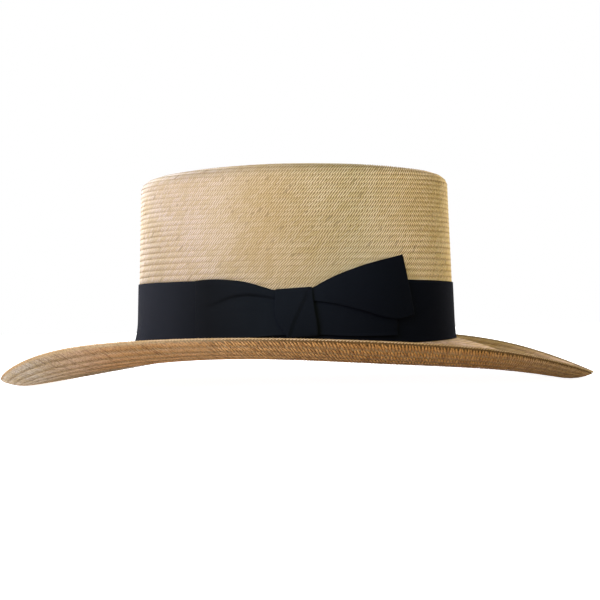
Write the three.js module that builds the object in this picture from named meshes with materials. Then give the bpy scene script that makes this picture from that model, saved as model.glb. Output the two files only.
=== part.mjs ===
// A straw gambler hat with a ribbon band and a flat bow.
// Millimetres, +Z up. The front of the hat faces -Y and the bow is on the +X side, the wearer's left.
// The hat rests on the front and the back of its brim at z = 0, with its outline centred over the origin.
import * as THREE from "three";

// Crown: an oval drum that narrows a little, with a rounded rim and a sunken flat top
const HALF_LENGTH = 102;
const HALF_WIDTH = 86.2;
const CROWN_HEIGHT = 101.2;
const CROWN_TAPER = 0.035;
const CROWN_LEAN_BACK = 0.008;
const STRAW_WALL = 1.6;
const RIM_RADIUS = 6.0;
const TOP_SINK = 10;
const SINK_FILLET = 6;
const SINK_SLOPE = Math.PI / 4;
const FLOOR_MARGIN = 3;
const FLOOR_RINGS = [0, 0.6];
const SINK_STEPS = 2;
const RIM_STEPS = 6;
const WALL_HEIGHTS = [70, 36];

// Foot of the crown: a concave fillet into the brim, a little lower in front and behind than at the sides,
// with a sag between each side and the back
const FOOT_FILLET = 3;
const FOOT_SWEEP = 2.3;
const FOOT_SAG_BEHIND = 2.2;
const FOOT_STEPS = 3;

// Brim, a row for each sixteenth of a turn from the front to the back; the left and the right side are alike.
// It falls by dip over its reach, and its outer part is curled up by curl.
const BRIM = [
  { turn: 0, reach: 85.0, dip: 34.3, curl: 9.5 },
  { turn: 22.5, reach: 84.0, dip: 31.2, curl: 11.8 },
  { turn: 45, reach: 81.7, dip: 22.8, curl: 17.0 },
  { turn: 67.5, reach: 79.5, dip: 13.0, curl: 14.8 },
  { turn: 90, reach: 78.6, dip: 9.3, curl: 12.2 },
  { turn: 112.5, reach: 79.3, dip: 13.5, curl: 14.9 },
  { turn: 135, reach: 80.9, dip: 19.3, curl: 13.9 },
  { turn: 157.5, reach: 82.6, dip: 28.4, curl: 11.3 },
  { turn: 180, reach: 83.2, dip: 34.6, curl: 10.9 },
];
const DIP_POWER = 1.197;
const CURL_START = 0.716;
const BRIM_SHARES = [0.13, 0.25, 0.4, 0.55, 0.716, 0.79, 0.86, 0.93, 1];
const SEGMENTS = 72;

// Ribbon: the band and the bow are the same ribbon, and a small gap parts every two layers
const RIBBON = 0.9;
const GAP = 0.3;
const BAND_TOP = 34.5;
const BAND_RISE_IN_FRONT = 1.5;
const BAND_GATHER = 8.2;
const BAND_GATHER_REACH = 52;
const BAND_FOOT_TURN = THREE.MathUtils.degToRad(60);
const BAND_MIDDLE_HEIGHT = 18;

// Bow: every size is measured along the crown from the middle of the bow, up from the foot of the crown,
// and off the straw. The middle of the bow lies this far behind the middle of the hat's side.
const BOW_BACKWARD = 15;

// A loop, a row for each section of its ribbon: out along the band, round the fold, and back to the knot.
// The front layer has a pleat along its crease, which is steep above and shallow below.
const LOOP = [
  { along: 2, lift: 2.1, bottom: 2.8, crease: 19.0, top: 27.4, pleat: 0 },
  { along: 24, lift: 2.1, bottom: 1.8, crease: 20.0, top: 30.0, pleat: 0 },
  { along: 50, lift: 2.1, bottom: 1.2, crease: 20.0, top: 34.4, pleat: 0 },
  { along: 57.6, lift: 2.2, bottom: 1.1, crease: 19.0, top: 34.6, pleat: 0 },
  { along: 59.2, lift: 3.15, bottom: 1.1, crease: 19.0, top: 34.7, pleat: 0 },
  { along: 57.6, lift: 4.15, bottom: 1.1, crease: 19.0, top: 34.8, pleat: 0.1 },
  { along: 48, lift: 4.5, bottom: 1.1, crease: 19.9, top: 34.9, pleat: 0.5 },
  { along: 37, lift: 5.0, bottom: 1.2, crease: 23.7, top: 33.9, pleat: 1.3 },
  { along: 27, lift: 5.3, bottom: 1.6, crease: 25.0, top: 31.6, pleat: 1.8 },
  { along: 17, lift: 5.0, bottom: 2.3, crease: 23.9, top: 29.0, pleat: 1.6 },
  { along: 10, lift: 4.8, bottom: 2.7, crease: 22.4, top: 27.7, pleat: 1.0 },
  { along: 3, lift: 4.7, bottom: 2.8, crease: 21.6, top: 27.4, pleat: 0 },
];
const LOOP_STEPS = 22;
const LOOP_ACROSS = [0, 0.4, 0.72, 0.88, 1, 1.14, 1.4, 2];
const PLEAT_ABOVE = 1.2;
const PLEAT_BELOW = 3.4;
const FRONT_LOOP_FULLNESS = 1;
const REAR_LOOP_FULLNESS = 0.5;

// Tail, a row for each section from under the knot to its square-cut end
const TAIL = [
  { lowAlong: 5, low: 22.0, highAlong: 5, high: 26.6, lift: 4.6, bulge: 0 },
  { lowAlong: 10.5, low: 21.8, highAlong: 10.8, high: 27.8, lift: 4.7, bulge: 0 },
  { lowAlong: 17, low: 20.9, highAlong: 15.5, high: 30.6, lift: 5.2, bulge: 0.5 },
  { lowAlong: 25, low: 19.2, highAlong: 21.7, high: 33.8, lift: 5.5, bulge: 0.9 },
  { lowAlong: 32, low: 17.3, highAlong: 28, high: 36.3, lift: 5.6, bulge: 1.0 },
  { lowAlong: 41, low: 14.6, highAlong: 37, high: 39.4, lift: 5.5, bulge: 1.0 },
  { lowAlong: 50, low: 11.8, highAlong: 46, high: 42.3, lift: 5.2, bulge: 0.9 },
  { lowAlong: 60, low: 10.5, highAlong: 54.5, high: 44.8, lift: 4.6, bulge: 0.7 },
  { lowAlong: 70.5, low: 12.7, highAlong: 63.2, high: 47.3, lift: 3.5, bulge: 0.4 },
];
const TAIL_STEPS = 14;
const TAIL_ACROSS = 6;

// Knot, a row for each section from its wrap over the top to its wrap under the bottom.
// Its front fold ends at the slanting ridge, and the fold behind shows on the right of it.
const KNOT = [
  { height: 29.1, left: -9.6, ridge: 9.4, right: 10.2, lift: 2.7 },
  { height: 29.0, left: -10.0, ridge: 9.4, right: 10.4, lift: 4.6 },
  { height: 28.3, left: -10.2, ridge: 9.2, right: 10.5, lift: 6.2 },
  { height: 24.6, left: -10.4, ridge: 6.8, right: 10.6, lift: 6.6 },
  { height: 20.2, left: -10.5, ridge: 4.5, right: 10.9, lift: 6.8 },
  { height: 15.4, left: -10.4, ridge: 2.1, right: 11.4, lift: 6.8 },
  { height: 10.6, left: -9.1, ridge: -0.3, right: 12.1, lift: 6.7 },
  { height: 6.0, left: -6.5, ridge: -2.0, right: 12.7, lift: 6.5 },
  { height: 2.2, left: -4.2, ridge: -3.2, right: 13.0, lift: 6.0 },
  { height: 1.4, left: -4.0, ridge: -3.3, right: 12.9, lift: 4.6 },
  { height: 1.3, left: -3.9, ridge: -3.3, right: 12.7, lift: 3.2 },
];
const KNOT_STEPS = 20;
const KNOT_EDGE_DROP = 0.3;
const KNOT_RIDGE_RISE = 0.4;
const KNOT_BACK_FOLD_DROP = 0.7;
const KNOT_STEP_HALF = 0.7;

// Colours
const STRAW = new THREE.MeshStandardMaterial({ color: "#d5b67e", roughness: 0.8, metalness: 0 });
const BLACK_RIBBON = new THREE.MeshStandardMaterial({ color: "#1b1d24", roughness: 0.7, metalness: 0 });

// A closed body between two grids of points, joined along their edges. Where the grids go right round,
// each row closes on itself and only the first and the last row are edges.
function sheetBody(front, back, round) {
  const rows = front.length;
  const columns = front[0].length;
  const points = [...front.flat(), ...back.flat()];
  const at = (side, row, column) => (side * rows + row) * columns + (column % columns);
  const triangles = [];
  const addTriangle = (a, b, c) => {
    const [p, q, r] = [points[a], points[b], points[c]];
    if (!p.equals(q) && !q.equals(r) && !r.equals(p)) triangles.push(a, b, c);
  };
  const addQuad = (a, b, c, d) => {
    addTriangle(a, b, c);
    addTriangle(a, c, d);
  };
  const spans = round ? columns : columns - 1;
  for (let row = 0; row < rows - 1; row += 1) {
    for (let column = 0; column < spans; column += 1) {
      addQuad(at(0, row, column), at(0, row + 1, column), at(0, row + 1, column + 1), at(0, row, column + 1));
      addQuad(at(1, row, column), at(1, row, column + 1), at(1, row + 1, column + 1), at(1, row + 1, column));
    }
  }
  for (let column = 0; column < spans; column += 1) {
    const last = rows - 1;
    addQuad(at(0, 0, column), at(0, 0, column + 1), at(1, 0, column + 1), at(1, 0, column));
    addQuad(at(0, last, column + 1), at(0, last, column), at(1, last, column), at(1, last, column + 1));
  }
  for (let row = 0; row < rows - 1 && !round; row += 1) {
    const last = columns - 1;
    addQuad(at(0, row + 1, 0), at(0, row, 0), at(1, row, 0), at(1, row + 1, 0));
    addQuad(at(0, row, last), at(0, row + 1, last), at(1, row + 1, last), at(1, row, last));
  }
  const geometry = new THREE.BufferGeometry().setFromPoints(points);
  geometry.setIndex(facingOut(points, triangles));
  geometry.computeVertexNormals();
  return geometry;
}

// The triangles turned round if together they face into the body
function facingOut(points, triangles) {
  let volume = 0;
  for (let i = 0; i < triangles.length; i += 3) {
    const [a, b, c] = [points[triangles[i]], points[triangles[i + 1]], points[triangles[i + 2]]];
    volume += a.dot(new THREE.Vector3().crossVectors(b, c));
  }
  return volume > 0 ? triangles : triangles.reverse();
}

// Evenly spaced numbers from one end to the other, both ends included
function spread(from, to, steps) {
  return Array.from({ length: steps + 1 }, (_, i) => from + ((to - from) * i) / steps);
}

// A smooth curve through one column of a table, read at a share of the way down its rows
function columnCurve(table, name) {
  const curve = new THREE.SplineCurve(table.map((row, i) => new THREE.Vector2(i, row[name])));
  return (share) => curve.getPoint(share).y;
}

// A brim column as a sum of cosines that passes through every row and is level at the front and the back
function roundBrim(name) {
  const last = BRIM.length - 1;
  const halfAtEnds = (i) => (i === 0 || i === last ? 0.5 : 1);
  const terms = BRIM.map((_, order) => {
    const parts = BRIM.map((row, i) => halfAtEnds(i) * row[name] * Math.cos((Math.PI * order * i) / last));
    return (2 / last) * halfAtEnds(order) * parts.reduce((sum, part) => sum + part, 0);
  });
  return (angle) => terms.reduce((sum, term, k) => sum + term * Math.cos(k * (angle + Math.PI / 2)), 0);
}

const brimReach = roundBrim("reach");
const brimDip = roundBrim("dip");
const brimCurl = roundBrim("curl");

// Height of the brim's upper face, from the foot of the crown, at a share of its reach
function brimHeight(angle, share) {
  const sag = Math.sin(angle) > 0 ? FOOT_SAG_BEHIND * Math.sin(2 * angle) ** 2 : 0;
  const foot = -(FOOT_SWEEP * Math.sin(angle) ** 2 + sag) * (1 - share);
  const curled = Math.max(0, (share - CURL_START) / (1 - CURL_START)) ** 2;
  return foot - brimDip(angle) * share ** DIP_POWER + brimCurl(angle) * curled;
}

// The point at a place of the section that stands square to the foot oval at an angle from the +X side
function ovalPoint(angle, place) {
  const square = new THREE.Vector2(Math.cos(angle) / HALF_WIDTH, Math.sin(angle) / HALF_LENGTH).normalize();
  const x = HALF_WIDTH * Math.cos(angle) + square.x * place.x;
  const y = HALF_LENGTH * Math.sin(angle) + square.y * place.x;
  return new THREE.Vector3(x, y + leanAt(place.y), place.y);
}

// How far the crown has leaned back at a height
function leanAt(height) {
  return CROWN_LEAN_BACK * Math.max(0, height);
}

// A place of the concave foot, from its top (turn 0) to the brim (a quarter turn), moved off its face
function footPlace(angle, turn, off) {
  const out = FOOT_FILLET * (1 - Math.cos(turn));
  const up = brimHeight(angle, out / brimReach(angle)) + FOOT_FILLET * (1 - Math.sin(turn));
  return new THREE.Vector2(out + off * Math.cos(turn), up + off * Math.sin(turn));
}

// How far the crown's outer face lies from the foot oval at a height
function wallOut(height) {
  const inFillet = Math.max(0, FOOT_FILLET - height);
  return FOOT_FILLET - Math.sqrt(FOOT_FILLET ** 2 - inFillet ** 2) - CROWN_TAPER * height;
}

// Places of the straw's outer face at an angle, from the sunken floor over the rim to the brim's edge
function strawSection(angle) {
  const rimHeight = CROWN_HEIGHT - RIM_RADIUS;
  const rim = new THREE.Vector2(-CROWN_TAPER * rimHeight - RIM_RADIUS, rimHeight);
  const rimEnd = Math.PI - SINK_SLOPE;
  const onArc = (centre, radius, turn) =>
    new THREE.Vector2(centre.x + radius * Math.cos(turn), centre.y + radius * Math.sin(turn));
  const slopeTop = onArc(rim, RIM_RADIUS, rimEnd);
  const floor = CROWN_HEIGHT - TOP_SINK;
  const slopeFoot = floor + SINK_FILLET * (1 - Math.cos(SINK_SLOPE));
  const slopeRun = (slopeTop.y - slopeFoot) / Math.tan(SINK_SLOPE);
  const sinkOut = slopeTop.x - slopeRun - SINK_FILLET * Math.sin(SINK_SLOPE);
  const sink = new THREE.Vector2(sinkOut, floor + SINK_FILLET);
  const down = -Math.PI / 2;
  return [
    new THREE.Vector2(sinkOut - FLOOR_MARGIN, floor),
    ...spread(down, down + SINK_SLOPE, SINK_STEPS).map((turn) => onArc(sink, SINK_FILLET, turn)),
    ...spread(rimEnd, 0, RIM_STEPS).map((turn) => onArc(rim, RIM_RADIUS, turn)),
    ...WALL_HEIGHTS.map((height) => new THREE.Vector2(wallOut(height), height)),
    ...spread(0, Math.PI / 2, FOOT_STEPS).map((turn) => footPlace(angle, turn, 0)),
    ...BRIM_SHARES.map((share) => new THREE.Vector2(share * brimReach(angle), brimHeight(angle, share))),
  ];
}

// The same places moved through the wall to the straw's inner face
function innerSection(section) {
  return section.map((place, i) => {
    const before = section[Math.max(0, i - 1)];
    const after = section[Math.min(section.length - 1, i + 1)];
    const way = i === 1 ? new THREE.Vector2(1, 0) : after.clone().sub(before).normalize();
    return new THREE.Vector2(place.x + STRAW_WALL * way.y, place.y - STRAW_WALL * way.x);
  });
}

const ANGLES = spread(0, 2 * Math.PI, SEGMENTS).slice(0, SEGMENTS);

// Grid of the straw's face: rings of the flat floor, then a ring for each place of the sections
function strawFace(sections) {
  const edge = ANGLES.map((angle, i) => ovalPoint(angle, sections[i][0]));
  const floor = FLOOR_RINGS.map((share) => edge.map((p) => new THREE.Vector3(p.x * share, p.y * share, p.z)));
  const rings = sections[0].map((_, place) => ANGLES.map((angle, i) => ovalPoint(angle, sections[i][place])));
  return [...floor, ...rings];
}

// Crown and brim, woven in one piece
function strawBody() {
  const sections = ANGLES.map(strawSection);
  return sheetBody(strawFace(sections), strawFace(sections.map(innerSection)), true);
}

// Height of the band's upper edge: a little higher in front, and drawn down where the knot gathers it
function bandTop(angle) {
  const along = HALF_LENGTH * Math.atan2(Math.sin(angle), Math.cos(angle)) - BOW_BACKWARD;
  const near = Math.max(0, 1 - Math.abs(along) / BAND_GATHER_REACH);
  const gather = BAND_GATHER * Math.sin((Math.PI / 2) * near) ** 2;
  return BAND_TOP - BAND_RISE_IN_FRONT * Math.sin(angle) - gather;
}

// Band: it follows the foot's flare
function ribbonBand() {
  const face = (off) => {
    const places = (angle) => {
      const top = bandTop(angle);
      return [
        footPlace(angle, BAND_FOOT_TURN, off),
        footPlace(angle, BAND_FOOT_TURN / 2, off),
        footPlace(angle, 0, off),
        new THREE.Vector2(wallOut(BAND_MIDDLE_HEIGHT) + off, BAND_MIDDLE_HEIGHT),
        new THREE.Vector2(wallOut(top) + off, top),
      ];
    };
    const columns = ANGLES.map((angle) => places(angle).map((place) => ovalPoint(angle, place)));
    return columns[0].map((_, row) => columns.map((column) => column[row]));
  };
  return sheetBody(face(GAP + RIBBON), face(GAP), true);
}

const bowSide = new THREE.EllipseCurve(0, 0, HALF_WIDTH, HALF_LENGTH, -Math.PI / 2, Math.PI / 2);

// A place of the bow, given as how far along, how high and how far off the straw, laid round the crown
function onCrown(place) {
  const share = 0.5 + (BOW_BACKWARD + place.x) / bowSide.getLength();
  const foot = bowSide.getPointAt(share);
  const way = bowSide.getTangentAt(share);
  const out = wallOut(place.y) + place.z;
  return new THREE.Vector3(foot.x + way.y * out, foot.y - way.x * out + leanAt(place.y), place.y);
}

// A ribbon of even thickness about a grid of places, which are laid out flat and then round the crown
function ribbonBody(middle) {
  const side = (half) =>
    middle.map((row, i) =>
      row.map((place, j) => {
        const next = middle[Math.min(i + 1, middle.length - 1)][j];
        const previous = middle[Math.max(i - 1, 0)][j];
        const along = next.clone().sub(previous);
        const across = row[Math.min(j + 1, row.length - 1)].clone().sub(row[Math.max(j - 1, 0)]);
        const square = along.cross(across).normalize();
        return onCrown(square.multiplyScalar(half).add(place));
      }),
    );
  return sheetBody(side(RIBBON / 2), side(-RIBBON / 2), false);
}

// Loop to the front (direction -1) or to the back (1); a less full loop lies flatter on the band
function bowLoop(direction, fullness) {
  const along = columnCurve(LOOP, "along");
  const lift = columnCurve(LOOP, "lift");
  const bottom = columnCurve(LOOP, "bottom");
  const crease = columnCurve(LOOP, "crease");
  const top = columnCurve(LOOP, "top");
  const pleat = columnCurve(LOOP, "pleat");
  const flat = LOOP[0].lift;
  const rows = spread(0, 1, LOOP_STEPS).map((share) =>
    LOOP_ACROSS.map((across) => {
      const below = Math.min(across, 1);
      const above = Math.max(across - 1, 0);
      const fold = crease(share);
      const height = bottom(share) + (fold - bottom(share)) * below + (top(share) - fold) * above;
      const width = height > fold ? PLEAT_ABOVE : PLEAT_BELOW;
      const groove = pleat(share) * Math.exp(-(((height - fold) / width) ** 2));
      const off = flat + fullness * (lift(share) - groove - flat);
      return new THREE.Vector3(direction * along(share), height, off);
    }),
  );
  return ribbonBody(rows);
}

// Tail: it widens from the knot and bulges a little across its width
function bowTail() {
  const lowAlong = columnCurve(TAIL, "lowAlong");
  const low = columnCurve(TAIL, "low");
  const highAlong = columnCurve(TAIL, "highAlong");
  const high = columnCurve(TAIL, "high");
  const lift = columnCurve(TAIL, "lift");
  const bulge = columnCurve(TAIL, "bulge");
  const rows = spread(0, 1, TAIL_STEPS).map((share) =>
    spread(0, 1, TAIL_ACROSS).map((across) => {
      const along = lowAlong(share) + (highAlong(share) - lowAlong(share)) * across;
      const height = low(share) + (high(share) - low(share)) * across;
      return new THREE.Vector3(along, height, lift(share) + bulge(share) * Math.sin(Math.PI * across));
    }),
  );
  return ribbonBody(rows);
}

// Knot: two folds that wrap over the top and under the bottom of the bow
function bowKnot() {
  const height = columnCurve(KNOT, "height");
  const left = columnCurve(KNOT, "left");
  const ridge = columnCurve(KNOT, "ridge");
  const right = columnCurve(KNOT, "right");
  const lift = columnCurve(KNOT, "lift");
  const rows = spread(0, 1, KNOT_STEPS).map((share) => {
    const middle = (left(share) + ridge(share)) / 2;
    const behind = (ridge(share) + right(share)) / 2;
    const places = [
      { along: left(share), rise: -KNOT_EDGE_DROP },
      { along: middle, rise: 0 },
      { along: ridge(share) - KNOT_STEP_HALF, rise: KNOT_RIDGE_RISE },
      { along: ridge(share) + KNOT_STEP_HALF, rise: -KNOT_BACK_FOLD_DROP },
      { along: Math.max(behind, ridge(share) + 2 * KNOT_STEP_HALF), rise: -KNOT_BACK_FOLD_DROP },
      { along: right(share) + KNOT_STEP_HALF, rise: -KNOT_BACK_FOLD_DROP },
    ];
    return places.map((place) => new THREE.Vector3(place.along, height(share), lift(share) + place.rise));
  });
  return ribbonBody(rows);
}

const pieces = [
  { name: "straw_body", geometry: strawBody(), material: STRAW },
  { name: "ribbon_band", geometry: ribbonBand(), material: BLACK_RIBBON },
  { name: "bow_front_loop", geometry: bowLoop(-1, FRONT_LOOP_FULLNESS), material: BLACK_RIBBON },
  { name: "bow_rear_loop", geometry: bowLoop(1, REAR_LOOP_FULLNESS), material: BLACK_RIBBON },
  { name: "bow_tail", geometry: bowTail(), material: BLACK_RIBBON },
  { name: "bow_knot", geometry: bowKnot(), material: BLACK_RIBBON },
];

// The hat is lifted until its brim rests on z = 0, and its outline is centred over the origin
const hat = new THREE.Group();
for (const { name, geometry, material } of pieces) {
  const mesh = new THREE.Mesh(geometry, material);
  mesh.name = name;
  hat.add(mesh);
}
const outline = new THREE.Box3().setFromObject(hat);
const middle = outline.getCenter(new THREE.Vector3());
hat.position.set(-middle.x, -middle.y, -outline.min.z);

export default hat;
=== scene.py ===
# %% [markdown]
# # A straw gambler hat with a ribbon band and a bow
# The solids of the hat come from the packed model, which is loaded as a fixed frame. This lesson
# dresses them: the straw becomes a weave of single strands, and the ribbon becomes thin cloth.
# Lengths are worked out in millimetres and turned into metres where a mesh is made. The front of
# the hat is towards -Y, and its bow is on the +X side.

# %% Load the frame
import math

import bmesh
import bpy
import numpy as np
from mathutils import Matrix, Vector


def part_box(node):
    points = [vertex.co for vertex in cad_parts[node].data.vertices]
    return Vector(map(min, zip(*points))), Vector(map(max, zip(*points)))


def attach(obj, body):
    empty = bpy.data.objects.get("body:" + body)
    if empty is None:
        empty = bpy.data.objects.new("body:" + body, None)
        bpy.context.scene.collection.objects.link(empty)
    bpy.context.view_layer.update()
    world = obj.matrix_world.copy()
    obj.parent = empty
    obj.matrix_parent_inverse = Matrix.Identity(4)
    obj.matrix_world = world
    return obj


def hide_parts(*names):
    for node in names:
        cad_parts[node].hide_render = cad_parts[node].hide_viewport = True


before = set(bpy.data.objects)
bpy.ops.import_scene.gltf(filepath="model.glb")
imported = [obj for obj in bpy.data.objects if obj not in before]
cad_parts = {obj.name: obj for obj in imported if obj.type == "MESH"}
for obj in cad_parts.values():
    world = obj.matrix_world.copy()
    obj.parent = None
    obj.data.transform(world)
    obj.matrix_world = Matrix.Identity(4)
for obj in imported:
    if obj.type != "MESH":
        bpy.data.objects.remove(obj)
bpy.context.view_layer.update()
MM = 0.001
print("nodes:", sorted(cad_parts))

# %% [markdown]
# ## The view
# The hat is seen from the bow's side, a little from behind the middle, with the eye just above the
# brim. A camera that is tilted to frame the hat would make the crown's sides lean. So the camera
# looks level, a small lens shift moves the frame up, and a roll of about one degree follows the
# picture.

# %% Camera
PICTURE_WIDTH = 600
PIXELS_A_MM = 1.537
HORIZON_BELOW_MIDDLE = 19.075
EYE_TURN = math.radians(9.622)
EYE_ROLL = math.radians(1.292)
EYE_DISTANCE = 645.694
EYE_SIDEWAYS = 3.304
EYE_HEIGHT = 39.744
OVAL_BACK = 0.826
SENSOR = 36.0

back_way = Vector((math.cos(EYE_TURN), math.sin(EYE_TURN), 0))
right_way = Vector((-math.sin(EYE_TURN), math.cos(EYE_TURN), 0))
up_way = Vector((0, 0, 1))
rolled_right = right_way * math.cos(EYE_ROLL) - up_way * math.sin(EYE_ROLL)
rolled_up = right_way * math.sin(EYE_ROLL) + up_way * math.cos(EYE_ROLL)
eye = back_way * EYE_DISTANCE + right_way * EYE_SIDEWAYS + up_way * EYE_HEIGHT + Vector((0, OVAL_BACK, 0))

camera = bpy.data.objects.new("camera", bpy.data.cameras.new("camera"))
bpy.context.scene.collection.objects.link(camera)
camera.data.sensor_width = SENSOR
camera.data.lens = PIXELS_A_MM * EYE_DISTANCE / PICTURE_WIDTH * SENSOR
camera.data.shift_y = HORIZON_BELOW_MIDDLE / PICTURE_WIDTH
camera.location = eye * MM
camera.rotation_euler = Matrix((rolled_right, rolled_up, back_way)).transposed().to_euler()
bpy.context.scene.camera = camera
print("camera at", [round(v, 4) for v in camera.location], "lens", round(camera.data.lens, 2))

# %% [markdown]
# ## Studio
# The hat lies on white paper in soft light. A few bright lamps could light it, but each would draw
# hard shadows between the strands. So most light comes from the room and the floor, which follow
# below, and one large cool lamp towards the front stands in for a window. The Standard view keeps
# the straw's colours as they are mixed.

# %% Floor and window lamp
WINDOW_PLACE = (1.25, -0.7, 0.5)
WINDOW_AIM = (0, 0, 0.06)
WINDOW_SIZE = 1.1
WINDOW_POWER = 35.4
WINDOW_COLOUR = (0.5, 0.55, 1.0)
FLOOR_HALF = 3.0
FLOOR_DROP = 0.0003
bpy.context.scene.view_settings.view_transform = "Standard"

lamp = bpy.data.lights.new("window_light", "AREA")
lamp.shape = "DISK"
lamp.size = WINDOW_SIZE
lamp.energy = WINDOW_POWER
lamp.color = WINDOW_COLOUR
window = bpy.data.objects.new("window_light", lamp)
bpy.context.scene.collection.objects.link(window)
window.location = WINDOW_PLACE
aim = Vector(WINDOW_AIM) - window.location
window.rotation_euler = aim.to_track_quat("-Z", "Y").to_euler()

corners = [(FLOOR_HALF * x, FLOOR_HALF * y, 0) for x, y in ((-1, -1), (1, -1), (1, 1), (-1, 1))]
floor_mesh = bpy.data.meshes.new("floor")
floor_mesh.from_pydata(corners, [], [(0, 1, 2, 3)])
floor = bpy.data.objects.new("floor", floor_mesh)
floor.location.z = -FLOOR_DROP
bpy.context.scene.collection.objects.link(floor)
print("floor of", 2 * FLOOR_HALF, "m and a lamp of", WINDOW_POWER, "W")

# %% [markdown]
# ## Nodes as sums
# Shader and geometry trees need a lot of small arithmetic. One class wraps a node's output, so that
# Python's own operators add the Math nodes, and one method makes every other node: its settings
# first, because they decide which sockets there are, and then the values or links of its sockets.


# %% Wire: a node's output to do sums with
class Wire:
    def __init__(self, tree, socket=None):
        self.tree = tree
        self.socket = socket

    def node(self, kind, settings, values, output=0):
        """A new node, of which one output is given back."""
        made = self.tree.nodes.new(kind)
        for name, value in settings.items():
            if name == "stops":
                self.set_stops(made.color_ramp.elements, value)
            else:
                setattr(made, name, value)
        self.fill(made, values)
        return Wire(self.tree, made.outputs[output])

    def fill(self, made, values):
        """Values or links for a node's sockets; a colour is given as three numbers."""
        for name, value in values.items():
            socket = made.inputs[name]
            if isinstance(value, Wire):
                self.tree.links.new(value.socket, socket)
            else:
                socket.default_value = (*value, 1) if socket.type == "RGBA" else value

    def set_stops(self, elements, stops):
        while len(elements) < len(stops):
            elements.new(0.5)
        for element, (place, colour) in zip(elements, stops):
            element.position = place
            element.color = (*colour, 1)

    def sum(self, operation, *values):
        return self.node("ShaderNodeMath", {"operation": operation}, dict(enumerate(values)))

    def __add__(self, other):
        return self.sum("ADD", self, other)

    def __radd__(self, other):
        return self.sum("ADD", other, self)

    def __sub__(self, other):
        return self.sum("SUBTRACT", self, other)

    def __rsub__(self, other):
        return self.sum("SUBTRACT", other, self)

    def __mul__(self, other):
        return self.sum("MULTIPLY", self, other)

    def __rmul__(self, other):
        return self.sum("MULTIPLY", other, self)

    def __truediv__(self, other):
        return self.sum("DIVIDE", self, other)

    def sine(self):
        return self.sum("SINE", self)

    def size(self):
        return self.sum("ABSOLUTE", self)

    def floor(self):
        return self.sum("FLOOR", self)

    def fraction(self):
        return self.sum("FRACT", self)

    def between(self, low, high):
        """A smooth step from 0 at low to 1 at high."""
        values = {"Value": self, "From Min": low, "From Max": high}
        return self.node("ShaderNodeMapRange", {"interpolation_type": "SMOOTHSTEP"}, values)

    def axis(self, letter):
        return self.node("ShaderNodeSeparateXYZ", {}, {"Vector": self}, letter)

    def vector(self, x, y, z=0.0):
        return self.node("ShaderNodeCombineXYZ", {}, {"X": x, "Y": y, "Z": z})

    def noise(self, scale, detail=2.0):
        return self.node("ShaderNodeTexNoise", {}, {"Vector": self, "Scale": scale, "Detail": detail})

    def blend(self, other, factor, way="MIX"):
        """This colour with another one laid over it."""
        settings = {"data_type": "RGBA", "blend_type": way}
        return self.node("ShaderNodeMix", settings, {0: factor, 6: self, 7: other}, 2)

    def pick(self, first, second):
        """A colour from the first to the second, where this value goes from 0 to 1."""
        return self.node("ShaderNodeMix", {"data_type": "RGBA"}, {0: self, 6: first, 7: second}, 2)


def new_material(name):
    """A material with its wires, its place in object coordinates and its shader."""
    material = bpy.data.materials.new(name)
    material.use_nodes = True
    wires = Wire(material.node_tree)
    place = wires.node("ShaderNodeTexCoord", {}, {}, "Object")
    return material, wires, place, material.node_tree.nodes["Principled BSDF"]


print("wire methods:", len([name for name in vars(Wire) if callable(getattr(Wire, name))]))

# %% [markdown]
# ## Room light
# In the picture soft warm light falls on the bow's side of the hat. A room of one colour would light
# it flat, so the room's light changes with its direction: bright and warm on the bow's side, bright
# and cool on the far side, and dim in between. The eye itself sees plain white.

# %% Room
ROOM_BETWEEN = (0.5, 0.5, 0.5)
ROOM_BOW_SIDE = (1.625, 1.724, 1.08)
ROOM_FAR_SIDE = (1.5, 1.48, 1.8)
ROOM_SEEN = (1, 1, 1)
room = bpy.data.worlds.new("room")
room.use_nodes = True
wires = Wire(room.node_tree)
to_bow_side = wires.node("ShaderNodeTexCoord", {}, {}, "Generated").axis("X")
room_light = to_bow_side.pick(ROOM_BETWEEN, ROOM_BOW_SIDE).blend(ROOM_FAR_SIDE, to_bow_side * -1.0)
eye_ray = wires.node("ShaderNodeLightPath", {}, {}, "Is Camera Ray")
wires.fill(room.node_tree.nodes["Background"], {"Color": room_light.blend(ROOM_SEEN, eye_ray)})
bpy.context.scene.world = room
print("room light on the bow's side", ROOM_BOW_SIDE, "and on the far side", ROOM_FAR_SIDE)

# %% [markdown]
# ## Floor finish
# The paper under the hat is matt, and a trace of unevenness keeps it from being one flat colour. It
# throws light up under the brim, more of it at the front. A lamp down there would show, so the floor
# itself glows a little, while the eye sees it as white.

# %% Floor material
FLOOR_TONES = ((0.93, 0.93, 0.93), (0.95, 0.95, 0.95))
FLOOR_PATCHES = 3.0
FLOOR_GLOW_FRONT = (1.0, 0.85, 0.75)
FLOOR_GLOW_BACK = (0.146, 0.138, 0.137)
FLOOR_GLOW_CHANGE = (-0.2, -0.02)
FLOOR_SEEN = (0.95, 0.95, 0.95)
floor_material, wires, place, floor_shader = new_material("pale_floor")
floor_glow = place.axis("Y").between(*FLOOR_GLOW_CHANGE).pick(FLOOR_GLOW_FRONT, FLOOR_GLOW_BACK)
eye_ray = wires.node("ShaderNodeLightPath", {}, {}, "Is Camera Ray")
wires.fill(floor_shader, {"Base Color": place.noise(FLOOR_PATCHES).pick(*FLOOR_TONES), "Roughness": 0.9,
                          "Emission Color": floor_glow.blend(FLOOR_SEEN, eye_ray), "Emission Strength": 1.0})
floor_mesh.materials.append(floor_material)
print("floor material:", floor_material.name)

# %% [markdown]
# ## The hat's form
# The crown is an oval drum with a rounded rim and a sunken flat top, and it leans back a little. Its
# top is a touch lower behind. The form could be sculpted, but each strand has to know the face that
# it lies on. So a few sizes, nearly those of the solids, give every point of the straw by a rule.

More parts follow.
